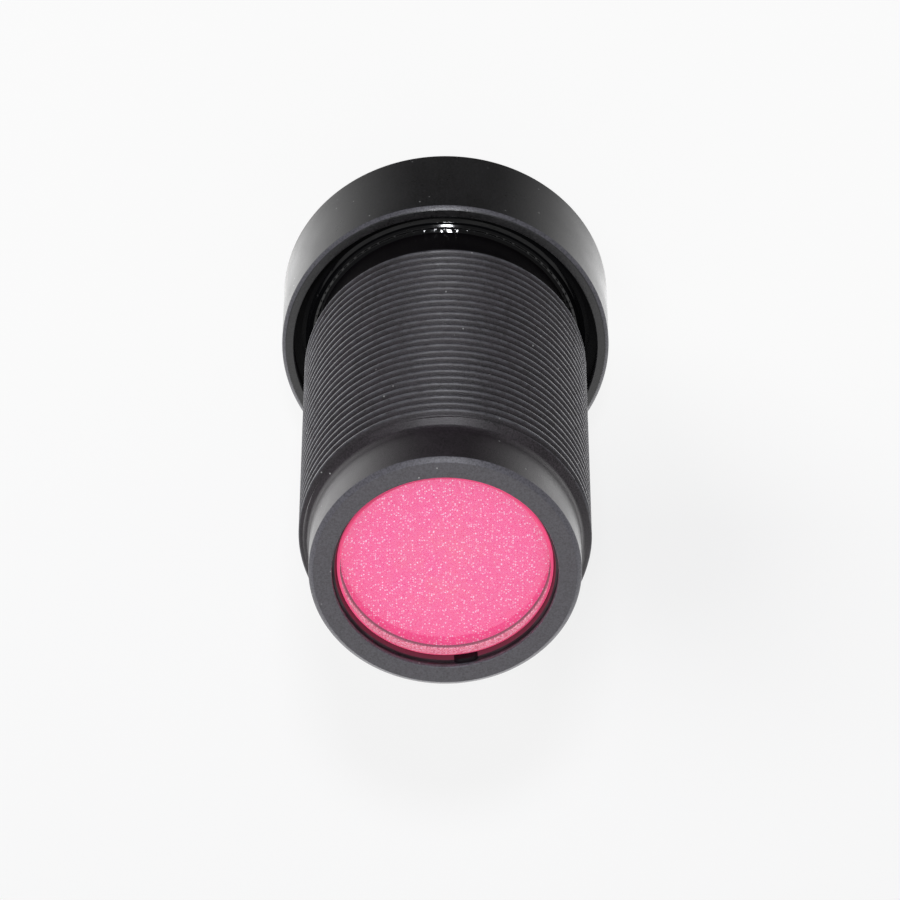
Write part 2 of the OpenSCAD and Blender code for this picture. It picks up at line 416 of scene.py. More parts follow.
@dataclass(frozen=True)
class CuredAdhesive:
    """Dark adhesive that set with a smooth, slightly wavy skin."""

    name: str
    colour: Colour = (0.003, 0.003, 0.0035)
    specular: float = 0.5
    roughness: float = 0.05
    haze_mm: float = 0.4
    haze_span: Span = (0.2, 0.9)
    haze_roughness: float = 0.1
    wave_mm: float = 0.9
    wave_detail: float = 1.0
    wave_depth_mm: float = 0.02
    pit_mm: float = 0.3
    pit_edge: Span = (0.0, 0.25)
    pit_share: float = 0.12

    def material(self) -> bpy.types.Material:
        """Builds the material, with long waves and tiny pits in its normal.

        Returns:
            The finished material.
        """
        made, graph = new_graph(self.name)
        place = graph.place()
        haze = graph.noise(place, self.haze_mm).ramp(*self.haze_span)
        wave = graph.noise(place, self.wave_mm, self.wave_detail)
        pits, _ = graph.cells(place, self.pit_mm)
        height = wave + pits.ramp(*self.pit_edge) * self.pit_share
        graph.principled(
            {
                "Base Color": self.colour,
                "Specular IOR Level": self.specular,
                "Roughness": haze * self.haze_roughness + self.roughness,
                "Normal": graph.bump(height, self.wave_depth_mm),
            }
        )
        return made


@dataclass(frozen=True)
class PolishedGlass:
    """Clear polished glass, with the tint of a thin antireflective coat on its faces."""

    name: str
    index: float = 1.52
    tint: Colour = (0.97, 0.99, 1.0)
    film_nm: float = 0.0
    film_index: float = 1.38

    def material(self) -> bpy.types.Material:
        """Builds the material.

        Returns:
            The finished material.
        """
        made, graph = new_graph(self.name)
        graph.principled(
            {
                "Base Color": self.tint,
                "Roughness": 0.0,
                "IOR": self.index,
                "Transmission Weight": 1.0,
                "Thin Film Thickness": self.film_nm,
                "Thin Film IOR": self.film_index,
            }
        )
        return made


@dataclass(frozen=True)
class GroundGlass:
    """Frosted edge of a glass plate, with pale chips tinted pink by painted light from the coat, a painted
    shadow line at its foot, painted pink light at its lip and a painted glow.
    """

    name: str
    foot_mm: float
    lip_mm: float
    # Chip colours, tinted pink as painted light from the coat
    dark: Colour = (0.5, 0.14, 0.25)
    pale: Colour = (1.0, 0.82, 0.9)
    # Painted shadow line in the gap at the plate's foot
    foot: Colour = (0.3, 0.06, 0.13)
    foot_fade_mm: float = 0.06
    # Painted pink light along the top of the edge
    lip: Colour = (1.0, 0.12, 0.3)
    lip_fade_mm: float = 0.3
    # Painted glow, though the edge is no lamp
    glow: Colour = (1.0, 0.1, 0.24)
    painted_glow_strength: float = 0.3
    chip_mm: float = 0.08
    chip_detail: float = 3.0
    chip_span: Span = (0.44, 0.64)
    chip_depth_mm: float = 0.01
    roughness: float = 0.5

    def material(self) -> bpy.types.Material:
        """Builds the material, with a weak painted glow that stands in for the light that the coat scatters
        in the glass.

        Returns:
            The finished material.
        """
        made, graph = new_graph(self.name)
        place = graph.place()
        _, _, height = graph.axes(place)
        chips = graph.noise(place, self.chip_mm, self.chip_detail).ramp(*self.chip_span)
        colour = graph.blend(chips, self.dark, self.pale)
        # Painted pink light along the top of the edge
        lip = height.ramp((self.lip_mm - self.lip_fade_mm) * MM, self.lip_mm * MM)
        colour = graph.blend(lip, colour, self.lip)
        # Painted shadow line at the foot, where the painted glow is left out
        foot = height.ramp(self.foot_mm * MM, (self.foot_mm - self.foot_fade_mm) * MM)
        colour = graph.blend(foot, colour, self.foot)
        graph.principled(
            {
                "Base Color": colour,
                "Roughness": self.roughness,
                "Emission Color": graph.blend(foot, self.glow, BLACK),
                "Emission Strength": self.painted_glow_strength,
                "Normal": graph.bump(chips, self.chip_depth_mm),
            }
        )
        return made


@dataclass(frozen=True)
class FilterCoat:
    """Reflecting infrared-cut coat: pink, warmer in the middle, with fine bright glitter painted as glints
    in its colour.
    """

    name: str
    rose: Colour = (1.0, 0.014, 0.27)
    salmon: Colour = (1.0, 0.07, 0.25)
    pale: Colour = (1.0, 0.09, 0.4)
    # Colour of the painted glints
    glint: Colour = (1.0, 0.78, 0.95)
    metallic: float = 0.08
    roughness: float = 0.4
    warm_mm: Span = (3.6, 1.2)
    patch_mm: float = 1.3
    patch_span: Span = (0.35, 0.65)
    grain_mm: float = 0.09
    grain_span: Span = (0.38, 0.75)
    grain_depth_mm: float = 0.006
    glint_mm: float = 0.095
    glint_edge: Span = (0.44, 0.14)
    glint_pick: Span = (0.4, 0.78)

    def material(self) -> bpy.types.Material:
        """Builds the material from a warm patch in the middle, grain and painted glints.

        Returns:
            The finished material.
        """
        made, graph = new_graph(self.name)
        place = graph.place()
        middle = graph.radius(place).ramp(self.warm_mm[0] * MM, self.warm_mm[1] * MM)
        patch = graph.noise(place, self.patch_mm).ramp(*self.patch_span)
        colour = graph.blend(middle * patch, self.rose, self.salmon)
        grain = graph.noise(place, self.grain_mm)
        colour = graph.blend(grain.ramp(*self.grain_span), colour, self.pale)
        # Painted glints: pale dots in the base colour
        distance, pick = graph.cells(place, self.glint_mm)
        glint = distance.ramp(*self.glint_edge) * pick.ramp(*self.glint_pick)
        colour = graph.blend(glint, colour, self.glint)
        graph.principled(
            {
                "Base Color": colour,
                "Roughness": self.roughness,
                "Metallic": self.metallic,
                "Normal": graph.bump(grain, self.grain_depth_mm),
            }
        )
        return made


@dataclass(frozen=True)
class MaskFilm:
    """Matte black film of the thin light masks."""

    name: str
    colour: Colour = (0.008, 0.008, 0.008)
    roughness: float = 0.6
    roughness_spread: float = 0.2
    grain_mm: float = 0.03
    grain_depth_mm: float = 0.002

    def material(self) -> bpy.types.Material:
        """Builds the material.

        Returns:
            The finished material.
        """
        made, graph = new_graph(self.name)
        grain = graph.noise(graph.place(), self.grain_mm)
        graph.principled(
            {
                "Base Color": self.colour,
                "Roughness": grain * self.roughness_spread + self.roughness,
                "Normal": graph.bump(grain, self.grain_depth_mm),
            }
        )
        return made


def arc_corner(
    before: np.ndarray, corner: np.ndarray, after: np.ndarray, radius: float, steps: int
) -> np.ndarray:
    """Rounds one corner of an outline.

    The arc touches both sides of the corner. Its centre lies on the bisector, at the radius over
    the sine of half the angle between the sides.

    Args:
        before: Point before the corner.
        corner: The corner.
        after: Point after the corner.
        radius: Radius of the arc.
        steps: Number of spans along the arc.

    Returns:
        The arc's points, in order.
    """
    to_before = (before - corner) / np.linalg.norm(before - corner)
    to_after = (after - corner) / np.linalg.norm(after - corner)
    half = math.acos(float(np.clip(np.dot(to_before, to_after), -1.0, 1.0))) / 2.0
    reach = radius / math.tan(half)
    bisector = (to_before + to_after) / np.linalg.norm(to_before + to_after)
    centre = corner + bisector * radius / math.sin(half)
    start = corner + to_before * reach - centre
    end = corner + to_after * reach - centre
    sweep = math.pi - 2.0 * half
    share = np.linspace(0.0, 1.0, steps + 1)[:, None]
    return centre + (start * np.sin((1.0 - share) * sweep) + end * np.sin(share * sweep)) / math.sin(sweep)


def rounded(points: Sequence[tuple[float, float, float]], steps: int = 3) -> np.ndarray:
    """Outline with its corners rounded.

    Args:
        points: Radius, height and corner radius of each point; a corner radius of 0 stays sharp.
        steps: Number of spans along each arc.

    Returns:
        An array of radius and height, one row for each point.
    """
    flat = np.array([point[:2] for point in points])
    pieces = [flat[:1]]
    for k in range(1, len(points) - 1):
        if points[k][2] > 0.0:
            pieces.append(arc_corner(flat[k - 1], flat[k], flat[k + 1], points[k][2], steps))
        else:
            pieces.append(flat[k : k + 1])
    pieces.append(flat[-1:])
    return np.vstack(pieces)


def cap_curve(radius: float, rise: float, height: float, side: Side, steps: int = 24) -> np.ndarray:
    """Half section of a spherical face, from its rim to the axis.

    A sphere that rises by h over a circle of radius a has the radius (a a + h h) / (2 h).

    Args:
        radius: Radius of the rim.
        rise: Height of the face's middle over its rim.
        height: Height of the rim.
        side: Which way the face bulges.
        steps: Number of spans.

    Returns:
        An array of radius and height.
    """
    ball = (radius * radius + rise * rise) / (2.0 * rise)
    out = np.linspace(radius, 0.0, steps + 1)
    lift = np.sqrt(ball * ball - out * out) - (ball - rise)
    return np.column_stack([out, height + side.value * lift])


def round_off(profile: np.ndarray, segments: int) -> np.ndarray:
    """Surface of revolution round the Z axis, as a grid.

    Point (k, i) is the profile's point k turned by i shares of a full turn. The last column lies
    on the first, and a row on the axis is one point; both close when doubles are merged.

    Args:
        profile: Radius and height of each point.
        segments: Number of spans round the axis.

    Returns:
        An array of rows, columns and coordinates.
    """
    angle = np.linspace(0.0, FULL_TURN, segments + 1)
    radius, height = profile[:, :1], profile[:, 1:]
    return np.stack([radius * np.cos(angle), radius * np.sin(angle), height + 0.0 * angle], axis=-1)


def ring_loop(radius: np.ndarray, height: np.ndarray, columns: int) -> np.ndarray:
    """Closed ring with a section that changes round the axis, as a grid.

    Point (k, i) has the radius and height of row k at angle i, and the first row is repeated at
    the end, so the section is a loop.

    Args:
        radius: Radius of each row of the section.
        height: Height of each row and column.
        columns: Number of spans round the axis.

    Returns:
        An array of rows, columns and coordinates.
    """
    angle = np.linspace(0.0, FULL_TURN, columns + 1)
    out = np.append(radius, radius[0])[:, None]
    level = np.vstack([height, height[:1]])
    return np.stack([out * np.cos(angle), out * np.sin(angle), level], axis=-1)


def waves_round(angle: np.ndarray, waves: Sequence[Wave]) -> np.ndarray:
    """Sum of sines round a ring.

    The sum is that of height * sin(count * angle + phase) over all the waves.

    Args:
        angle: Angle of each column.
        waves: Height, count round the ring and phase of each wave.

    Returns:
        The sum at each angle.
    """
    height, count, phase = np.array(waves).T[:, :, None]
    return (height * np.sin(count * angle + phase)).sum(axis=0)


def normals_and_middles(piece: bpy.types.Object) -> tuple[np.ndarray, np.ndarray]:
    """Normal and middle of each polygon of a piece.

    Args:
        piece: The finished object.

    Returns:
        Two arrays with one row for each polygon, the second in millimetres.
    """
    polygons = piece.data.polygons
    normal = np.empty(len(polygons) * 3)
    middle = np.empty(len(polygons) * 3)
    polygons.foreach_get("normal", normal)
    polygons.foreach_get("center", middle)
    return normal.reshape(-1, 3), middle.reshape(-1, 3) / MM


def grid_faces(grid: np.ndarray) -> np.ndarray:
    """Four corner numbers of each cell of a grid."""
    rows, columns = grid.shape[:2]
    row = np.arange(rows - 1)[:, None]
    column = np.arange(columns - 1)[None, :]
    corner = row * columns + column
    return np.stack([corner, corner + 1, corner + columns + 1, corner + columns], axis=-1).reshape(-1, 4)


def build_piece(
    name: str,
    grids: Sequence[np.ndarray],
    material: bpy.types.Material,
    sharp_degrees: float = 32.0,
) -> bpy.types.Object:
    """Makes one closed object from grids whose rims meet, with its faces outwards.

    Args:
        name: The piece's name.
        grids: Points of each surface, in millimetres.
        material: Finish of the piece.
        sharp_degrees: Edges that turn by more than this stay sharp.

    Returns:
        The object, at the origin.
    """
    points = np.vstack([grid.reshape(-1, 3) for grid in grids]) * MM
    starts = np.cumsum([0] + [grid.shape[0] * grid.shape[1] for grid in grids[:-1]])
    faces = np.vstack([grid_faces(grid) + start for grid, start in zip(grids, starts)])
    mesh = bpy.data.meshes.new(name)
    mesh.from_pydata(points, [], faces.tolist())
    work = bmesh.new()
    work.from_mesh(mesh)
    bmesh.ops.remove_doubles(work, verts=work.verts, dist=WELD)
    bmesh.ops.recalc_face_normals(work, faces=work.faces)
    open_edges = sum(1 for edge in work.edges if len(edge.link_faces) != 2)
    work.to_mesh(mesh)
    work.free()
    if open_edges:
        LOG.warning("%s: %d open edges", name, open_edges)
    mesh.shade_smooth()
    mesh.set_sharp_from_angle(angle=math.radians(sharp_degrees))
    mesh.materials.append(material)
    return add_to_scene(name, mesh)


def declare(piece: bpy.types.Object, slot: Slot, *nodes: str) -> None:
    """Seats a piece on the lens's body, hides the nodes that it replaces and logs its faces.

    Args:
        piece: The finished object.
        slot: Material slot named for the piece; not used.
        nodes: Nodes of the model that it replaces.
    """
    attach(piece, ROOT_BODY)
    if nodes:
        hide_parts(*nodes)
    LOG.info("%s: %d faces", piece.name, len(piece.data.polygons))


def add_to_scene(name: str, data: bpy.types.ID) -> bpy.types.Object:
    """Makes an object from its data.

    Args:
        name: The object's name.
        data: Its mesh, lamp or camera.

    Returns:
        The object, at the origin of the scene.
    """
    made = bpy.data.objects.new(name, data)
    bpy.context.scene.collection.objects.link(made)
    return made


def box_mm(node: str) -> tuple[np.ndarray, np.ndarray]:
    """Lowest and highest corners of a node, in millimetres."""
    low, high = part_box(node)
    return np.array(low) / MM, np.array(high) / MM


def height_at(node: str, over_top: float) -> float:
    """Height at a distance over a node's highest point, or under it where that is negative."""
    return float(box_mm(node)[1][2]) + over_top


@dataclass
class Thread:
    """Right-handed outside thread with flat crests and roots, cut off by a cone at each end."""

    radius: float
    low: float
    low_radius: float
    high: float
    high_radius: float
    cone_length: float
    pitch: float = 0.5
    depth_share: float = 0.54
    segments: int = 240
    # Share of the pitch and share of the full depth at each point, from one crest to the next
    section: tuple[Span, ...] = (
        (0.0, 0.0),
        (0.06, 0.0),
        (0.1, 0.06),
        (0.19, 0.34),
        (0.28, 0.66),
        (0.365, 0.95),
        (0.4, 1.0),
        (0.6, 1.0),
        (0.635, 0.95),
        (0.72, 0.66),
        (0.81, 0.34),
        (0.9, 0.06),
        (0.94, 0.0),
        (1.0, 0.0),
    )

    def grid(self) -> np.ndarray:
        """Builds the threaded skin between the rings at its low and high ends.

        Point (k, m) lies at the turn m / segments and at the height (turn + share k) * pitch over
        the start, and its radius is the thread's less the depth k. Heights past an end are moved
        to that end, and no radius is larger than the end's cone at that height. So the strip
        starts and ends in single points on the two rings, and after a full turn its first row
        meets its last.

        Returns:
            The strip as a grid.
        """
        turns = math.ceil((self.high - self.low) / self.pitch) + 1
        start = (self.low + self.high - (turns + 1) * self.pitch) / 2.0
        share = np.array([point[0] for point in self.section])[:, None]
        depth = np.array([point[1] for point in self.section])[:, None] * self.depth_share * self.pitch
        turn = np.linspace(0.0, turns, turns * self.segments + 1)[None, :]
        height = np.clip(start + (turn + share) * self.pitch, self.low, self.high)
        low_slope = (self.radius - self.low_radius) / self.cone_length
        high_slope = (self.radius - self.high_radius) / self.cone_length
        low_cone = self.low_radius + (height - self.low) * low_slope
        high_cone = self.high_radius + (self.high - height) * high_slope
        radius = np.minimum(np.minimum(low_cone, high_cone), self.radius - depth)
        angle = (turn - np.floor(turn)) * FULL_TURN + 0.0 * height
        return np.stack([radius * np.cos(angle), radius * np.sin(angle), height], axis=-1)


@dataclass
class Barrel:
    """Turned barrel: flange, relief, thread, neck, filter pocket and the bores inside."""

    finish: Anodised
    thread_radius: float = 6.0
    thread_length: float = 13.0
    thread_chamfer: float = 0.25
    relief_radius: float = 5.5
    relief_length: float = 1.75
    neck_radius: float = 5.55
    neck_length: float = 2.4
    neck_bevel: float = 0.2
    neck_bevel_down: float = 0.165
    flare_out: float = 0.09
    flare_up: float = 0.26
    knee_out: float = 0.027
    knee_up: float = 0.104
    knee_round: float = 0.12
    flare_round: float = 0.4
    pocket_radius: float = 4.6
    passage_radius: float = 3.88
    bore_radius: float = 4.6
    ring_pocket_radius: float = 5.2
    ring_pocket_length: float = 1.7
    flange_length: float = 2.0
    rear_lens_edge: float = 1.2
    edge_round: float = 0.05
    pocket_round: float = 0.07
    flange_round: float = 0.06
    segments: int = 240

    def build(self) -> None:
        """Builds the barrel in place of its node.

        Its skin is one surface of revolution, from the neck over the pocket and the bores to the
        relief, and the thread's strip closes it.
        """
        low, high = box_mm("barrel")
        flange_radius = float(high[0])
        bottom, top = float(low[2]), float(high[2])
        neck_low = top - self.neck_length
        thread_high = neck_low - self.thread_chamfer
        thread_low = thread_high - self.thread_length
        floor = float(box_mm("ir_filter")[0][2])
        shoulder = float(box_mm("rear_spacer")[1][2]) + self.rear_lens_edge
        seat = bottom + self.ring_pocket_length
        flange_high = bottom + self.flange_length
        outline = rounded(
            [
                (self.neck_radius + self.flare_out, neck_low, 0.0),
                (self.neck_radius + self.knee_out, neck_low + self.knee_up, self.knee_round),
                (self.neck_radius, neck_low + self.flare_up, self.flare_round),
                (self.neck_radius, top - self.neck_bevel_down, self.edge_round),
                (self.neck_radius - self.neck_bevel, top, self.edge_round),
                (self.pocket_radius, top, self.pocket_round),
                (self.pocket_radius, floor, 0.0),
                (self.passage_radius, floor, 0.0),
                (self.passage_radius, shoulder, 0.0),
                (self.bore_radius, shoulder, 0.0),
                (self.bore_radius, seat, 0.0),
                (self.ring_pocket_radius, seat, 0.0),
                (self.ring_pocket_radius, bottom, 0.0),
                (flange_radius, bottom, self.flange_round),
                (flange_radius, flange_high, 0.0),
                (self.relief_radius, flange_high, 0.0),
                (self.relief_radius, thread_low - self.thread_chamfer, 0.0),
            ]
        )
        thread = Thread(
            radius=self.thread_radius,
            low=thread_low - self.thread_chamfer,
            low_radius=self.relief_radius,
            high=neck_low,
            high_radius=self.neck_radius + self.flare_out,
            cone_length=self.thread_chamfer,
            segments=self.segments,
        )
        grids = [round_off(outline, self.segments), thread.grid()]
        piece = build_piece("threaded_barrel", grids, self.finish.material())
        declare(piece, Slot.BARREL, "barrel")


@dataclass
class Head:
    """Wide plain ring round the front of the barrel, with a recess behind its rim."""

    finish: Anodised
    rim_wall: float = 0.5
    rim_bevel: float = 0.03
    outer_bevel: float = 0.18
    outer_bevel_down: float = 0.15
    foot_bevel: float = 0.12
    edge_round: float = 0.05
    rim_round: float = 0.03
    ledge_drop: float = 1.0
    bore_radius: float = 6.22
    lip_length: float = 1.2
    throat_radius: float = 5.15
    mouth_radius: float = 5.8
    segments: int = 288

    def build(self) -> None:
        """Builds the head in place of its node."""
        low, high = box_mm("front_hood")
        radius = float(high[0])
        bottom, top = float(low[2]), float(high[2])
        recess = radius - self.rim_wall
        ledge = top - self.ledge_drop
        lip = bottom + self.lip_length
        outline = rounded(
            [
                (self.mouth_radius, bottom, 0.0),
                (radius - self.foot_bevel, bottom, self.edge_round),
                (radius, bottom + self.foot_bevel, self.edge_round),
                (radius, top - self.outer_bevel_down, self.edge_round),
                (radius - self.outer_bevel, top, self.rim_round),
                (recess + self.rim_bevel, top, 0.0),
                (recess, top - self.rim_bevel, 0.0),
                (recess, ledge, 0.0),
                (self.bore_radius, ledge, 0.0),
                (self.bore_radius, lip, 0.0),
                (self.throat_radius, lip, 0.0),
                (self.mouth_radius, bottom, 0.0),
            ]
        )
        piece = build_piece("front_head_ring", [round_off(outline, self.segments)], self.finish.material())
        declare(piece, Slot.HEAD, "front_hood")


@dataclass
class SealantBead:
    """Glossy adhesive in the head's recess, with two raised lips near the barrel."""

    finish: CuredAdhesive
    inner_radius: float = 5.51
    step_radius: float = 6.21
    ledge_height: float = 0.2
    swell: tuple[Wave, ...] = ((0.01, 2.0, 0.7), (0.007, 5.0, 2.1), (0.003, 13.0, 4.0))
    ripple: tuple[Wave, ...] = ((0.007, 89.0, 0.0), (0.0042, 143.0, 1.0))
    lip_end: float = -0.62
    lip_fade: float = 0.1
    lip_width: float = 0.24
    columns: int = 720
    rows: int = 81
    # Place across the bead, from -1 at the barrel to 1 at the head, and height over the solid's top
    skin: tuple[Span, ...] = (
        (-1.0, 0.16),
        (-0.76, 0.07),
        (-0.6, 0.055),
        (-0.4, -0.02),
        (-0.3, -0.09),
        (0.0, -0.17),
        (0.35, -0.13),
        (1.0, 0.0),
    )

    def build(self) -> None:
        """Builds the bead in place of its node.

        The height of the free surface runs in straight spans between the points of skin, plus
        the swell's waves round the ring. The ripple's waves are added on the lip near the barrel,
        where their share is (1 + a) / lip width, with a the place across the bead.
        """
        low, high = box_mm("hood_sealant")
        outer = float(high[0])
        bottom, top = float(low[2]), float(high[2])
        ledge = bottom + self.ledge_height
        angle = np.linspace(0.0, FULL_TURN, self.columns + 1)
        across = np.linspace(-1.0, 1.0, self.rows)[:, None]
        lip = np.clip((self.lip_end - across) / self.lip_fade, 0.0, 1.0) * (1.0 + across) / self.lip_width
        place, rise = np.array(self.skin).T
        skin = top + np.interp(across, place, rise)
        skin = skin + waves_round(angle, self.swell) + lip * waves_round(angle, self.ripple)
        radius = (self.inner_radius + outer) / 2.0 + across[:, 0] * (outer - self.inner_radius) / 2.0
        walls = np.array(
            [
                (outer, ledge),
                (self.step_radius, ledge),
                (self.step_radius, bottom),
                (self.inner_radius, bottom),
            ]
        )
        height = np.vstack([skin, walls[:, 1:] + 0.0 * angle])
        grid = ring_loop(np.append(radius, walls[:, 0]), height, self.columns)
        piece = build_piece("sealant_bead", [grid], self.finish.material())
        declare(piece, Slot.SEALANT, "hood_sealant")


@dataclass
class Filter:
    """Filter plate with polished faces and a ground edge, its coat and its adhesive."""

    glass: PolishedGlass
    ground: GroundGlass
    coat: FilterCoat
    glue: CuredAdhesive
    dab: CuredAdhesive
    fillet: CuredAdhesive
    bevel: float = 0.12
    coat_thickness: float = 0.01
    coat_margin: float = 0.13
    glue_gap: float = 0.01
    dab_angle: float = math.radians(101.0)
    dab_half_width: float = math.radians(5.6)
    dab_rise: float = 0.12
    dab_power: int = 8
    dab_reach: float = 1.1
    coat_gap: float = 0.002
    steep_limit: float = 0.9
    glue_drop: float = 0.33
    glue_steps: tuple[float, ...] = (0.0, 0.15, 0.3, 0.45, 0.6, 0.8, 1.0)
    glue_ripple: tuple[Wave, ...] = ((0.02, 11.0, 1.0), (0.01, 29.0, 0.0))
    slope_share: float = 0.45
    slope_power: float = 1.5
    glue_columns: int = 540
    segments: int = 192

    def build(self) -> None:
        """Builds the plate and its coat, and then the adhesive round it."""
        low, high = box_mm("ir_filter")
        radius = float(high[0])
        seat, top = float(low[2]), float(high[2])
        self._plate(radius, seat + self.coat_thickness + 2.0 * self.coat_gap, top)
        self._coat(radius - self.coat_margin, seat + self.coat_gap)
        self._adhesive(radius)

    def _plate(self, radius: float, bottom: float, top: float) -> None:
        """Builds the glass plate, polished on its faces and ground on its edge.

        Args:
            radius: Radius of the plate.
            bottom: Height of its inner face.
            top: Height of its outer face.
        """
        outline = rounded(
            [
                (0.0, bottom, 0.0),
                (radius - self.bevel, bottom, 0.0),
                (radius, bottom + self.bevel, 0.0),
                (radius, top - self.bevel, 0.0),
                (radius - self.bevel, top, 0.0),
                (0.0, top, 0.0),
            ]
        )
        piece = build_piece("filter_plate", [round_off(outline, self.segments)], self.glass.material())
        piece.data.materials.append(self.ground.material())
        normal, _ = normals_and_middles(piece)
        steep = np.abs(normal[:, 2]) < self.steep_limit
        piece.data.polygons.foreach_set("material_index", steep.astype(np.int32))
        declare(piece, Slot.FILTER, "ir_filter")

    def _coat(self, radius: float, bottom: float) -> None:
        """Builds the coat on the plate's inner face.

        Args:
            radius: Radius of the coated area.
            bottom: Height of its lower face.
        """
        outline = rounded(
            [
                (0.0, bottom, 0.0),
                (radius, bottom, 0.0),
                (radius, bottom + self.coat_thickness, 0.0),
                (0.0, bottom + self.coat_thickness, 0.0),
            ]
        )
        piece = build_piece("filter_coat", [round_off(outline, self.segments)], self.coat.material())
        declare(piece, Slot.FILTER)

    def _adhesive(self, plate_radius: float) -> None:
        """Builds the adhesive ring with its dab.

        From the plate outwards, the top climbs by the drop times (s / slope share) to the slope
        power, where s is the share of the way across, and is level past the slope share. The dab
        stands where exp(-(a / w) to the dab power) nears 1, with a the angle from its middle and w
        its half width. Elsewhere a small ripple is added, which fades towards the wall.

        Args:
            plate_radius: Radius of the plate that the adhesive holds.
        """
        low, high = box_mm("filter_adhesive")
        outer = float(high[0])
        inner = plate_radius + self.glue_gap
        bottom, dab_top = float(low[2]), float(high[2])
        base = dab_top - self.glue_drop
        angle = np.linspace(0.0, FULL_TURN, self.glue_columns + 1)
        away = (angle - self.dab_angle + math.pi) % FULL_TURN - math.pi
        dab = np.exp(-((away / self.dab_half_width) ** self.dab_power))
        share = np.array(self.glue_steps)[:, None]
        slope = np.minimum(share / self.slope_share, 1.0) ** self.slope_power
        ripple = waves_round(angle, self.glue_ripple) * (1.0 - share)
        plain = (self.glue_drop * slope + ripple) * (1.0 - dab)
        crown = base + plain + (dab_top + self.dab_rise - base) * dab
        height = np.vstack([crown, np.full((2, self.glue_columns + 1), bottom)])
        radius = np.append(inner + share[:, 0] * (outer - inner), [outer, inner])
        grid = ring_loop(radius, height, self.glue_columns)
        piece = build_piece("filter_glue", [grid], self.glue.material())
        piece.data.materials.append(self.dab.material())
        piece.data.materials.append(self.fillet.material())
        _, middle = normals_and_middles(piece)
        x, y, _ = middle.T
        turned = (np.arctan2(y, x) - self.dab_angle + math.pi) % FULL_TURN - math.pi
        in_dab = np.abs(turned) < self.dab_half_width * self.dab_reach
        on_flat = np.hypot(x, y) > inner + self.slope_share * (outer - inner)
        index = np.where(in_dab, 1, 2 * on_flat).astype(np.int32)
        piece.data.polygons.foreach_set("material_index", index)
        declare(piece, Slot.GLUE, "filter_adhesive")


@dataclass
class FrontLens:
    """First glass element, convex in front and hollow behind."""

    finish: PolishedGlass
    clear_radius: float = 3.98
    edge_bevel: float = 0.1
    edge_length: float = 1.5
    rise: float = 0.93
    hollow: float = 0.58
    segments: int = 160

    def build(self) -> None:
        """Builds the lens in place of its node."""
        low, high = box_mm("front_lens")
        radius = float(high[0])
        top = float(high[2])
        rim = top - self.edge_length
        front = cap_curve(self.clear_radius, self.rise, rim, Side.DOWN)[::-1]
        back = cap_curve(self.clear_radius, self.hollow, top, Side.DOWN)
        edge = np.array(
            [
                (radius - self.edge_bevel, rim),
                (radius, rim + self.edge_bevel),
                (radius, top - self.edge_bevel),
                (radius - self.edge_bevel, top),
            ]
        )
        outline = np.vstack([front, edge, back])
        piece = build_piece("front_lens_glass", [round_off(outline, self.segments)], self.finish.material())
        declare(piece, Slot.GLASS, "front_lens")


@dataclass
class InnerStack:
    """Rings, masks and glass inside the barrel, which keep their own solids."""

    ring: Anodised
    mask: MaskFilm
    glass: PolishedGlass
    rings: tuple[str, ...] = (
        "front_retaining_ring",
        "front_spacer",
        "pre_stop_spacer",
        "aperture_stop",
        "post_stop_spacer",
        "rear_spacer",
    )
    masks: tuple[str, ...] = ("front_light_mask", "rear_light_mask")
    lenses: tuple[str, ...] = (
        "front_doublet_crown",
        "front_doublet_flint",
        "rear_doublet_flint",
        "rear_doublet_crown",
        "rear_lens",
    )

    def dress(self) -> None:
        """Gives each node its finish."""
        for names, material in (
            (self.rings, self.ring.material()),
            (self.masks, self.mask.material()),
            (self.lenses, self.glass.material()),
        ):
            for name in names:
                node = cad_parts[name]
                node.data.materials.clear()
                node.data.materials.append(material)
                LOG.info("%s: dressed", name)


@dataclass(frozen=True)
class Softbox:
    """Rectangular lamp that faces the foot of the lens."""

    name: str
    direction: tuple[float, float, float]
    size: tuple[float, float]
    radiance: float
    shows_in_gloss: bool
    tint: Colour = WHITE
    distance: float = 0.3

    def build(self) -> None:
        """Builds the lamp, with its power worked out from its radiance and its area."""
        lamp = bpy.data.lights.new(self.name, "AREA")
        lamp.shape = "RECTANGLE"
        lamp.size, lamp.size_y = self.size
        lamp.energy = self.radiance * math.pi * self.size[0] * self.size[1]
        lamp.color = self.tint
        holder = add_to_scene(self.name, lamp)
        toward = Vector(self.direction).normalized()
        holder.location = toward * self.distance
        holder.rotation_euler = toward.to_track_quat("Z", "Y").to_euler()
        holder.visible_glossy = self.shows_in_gloss
        holder.visible_transmission = False


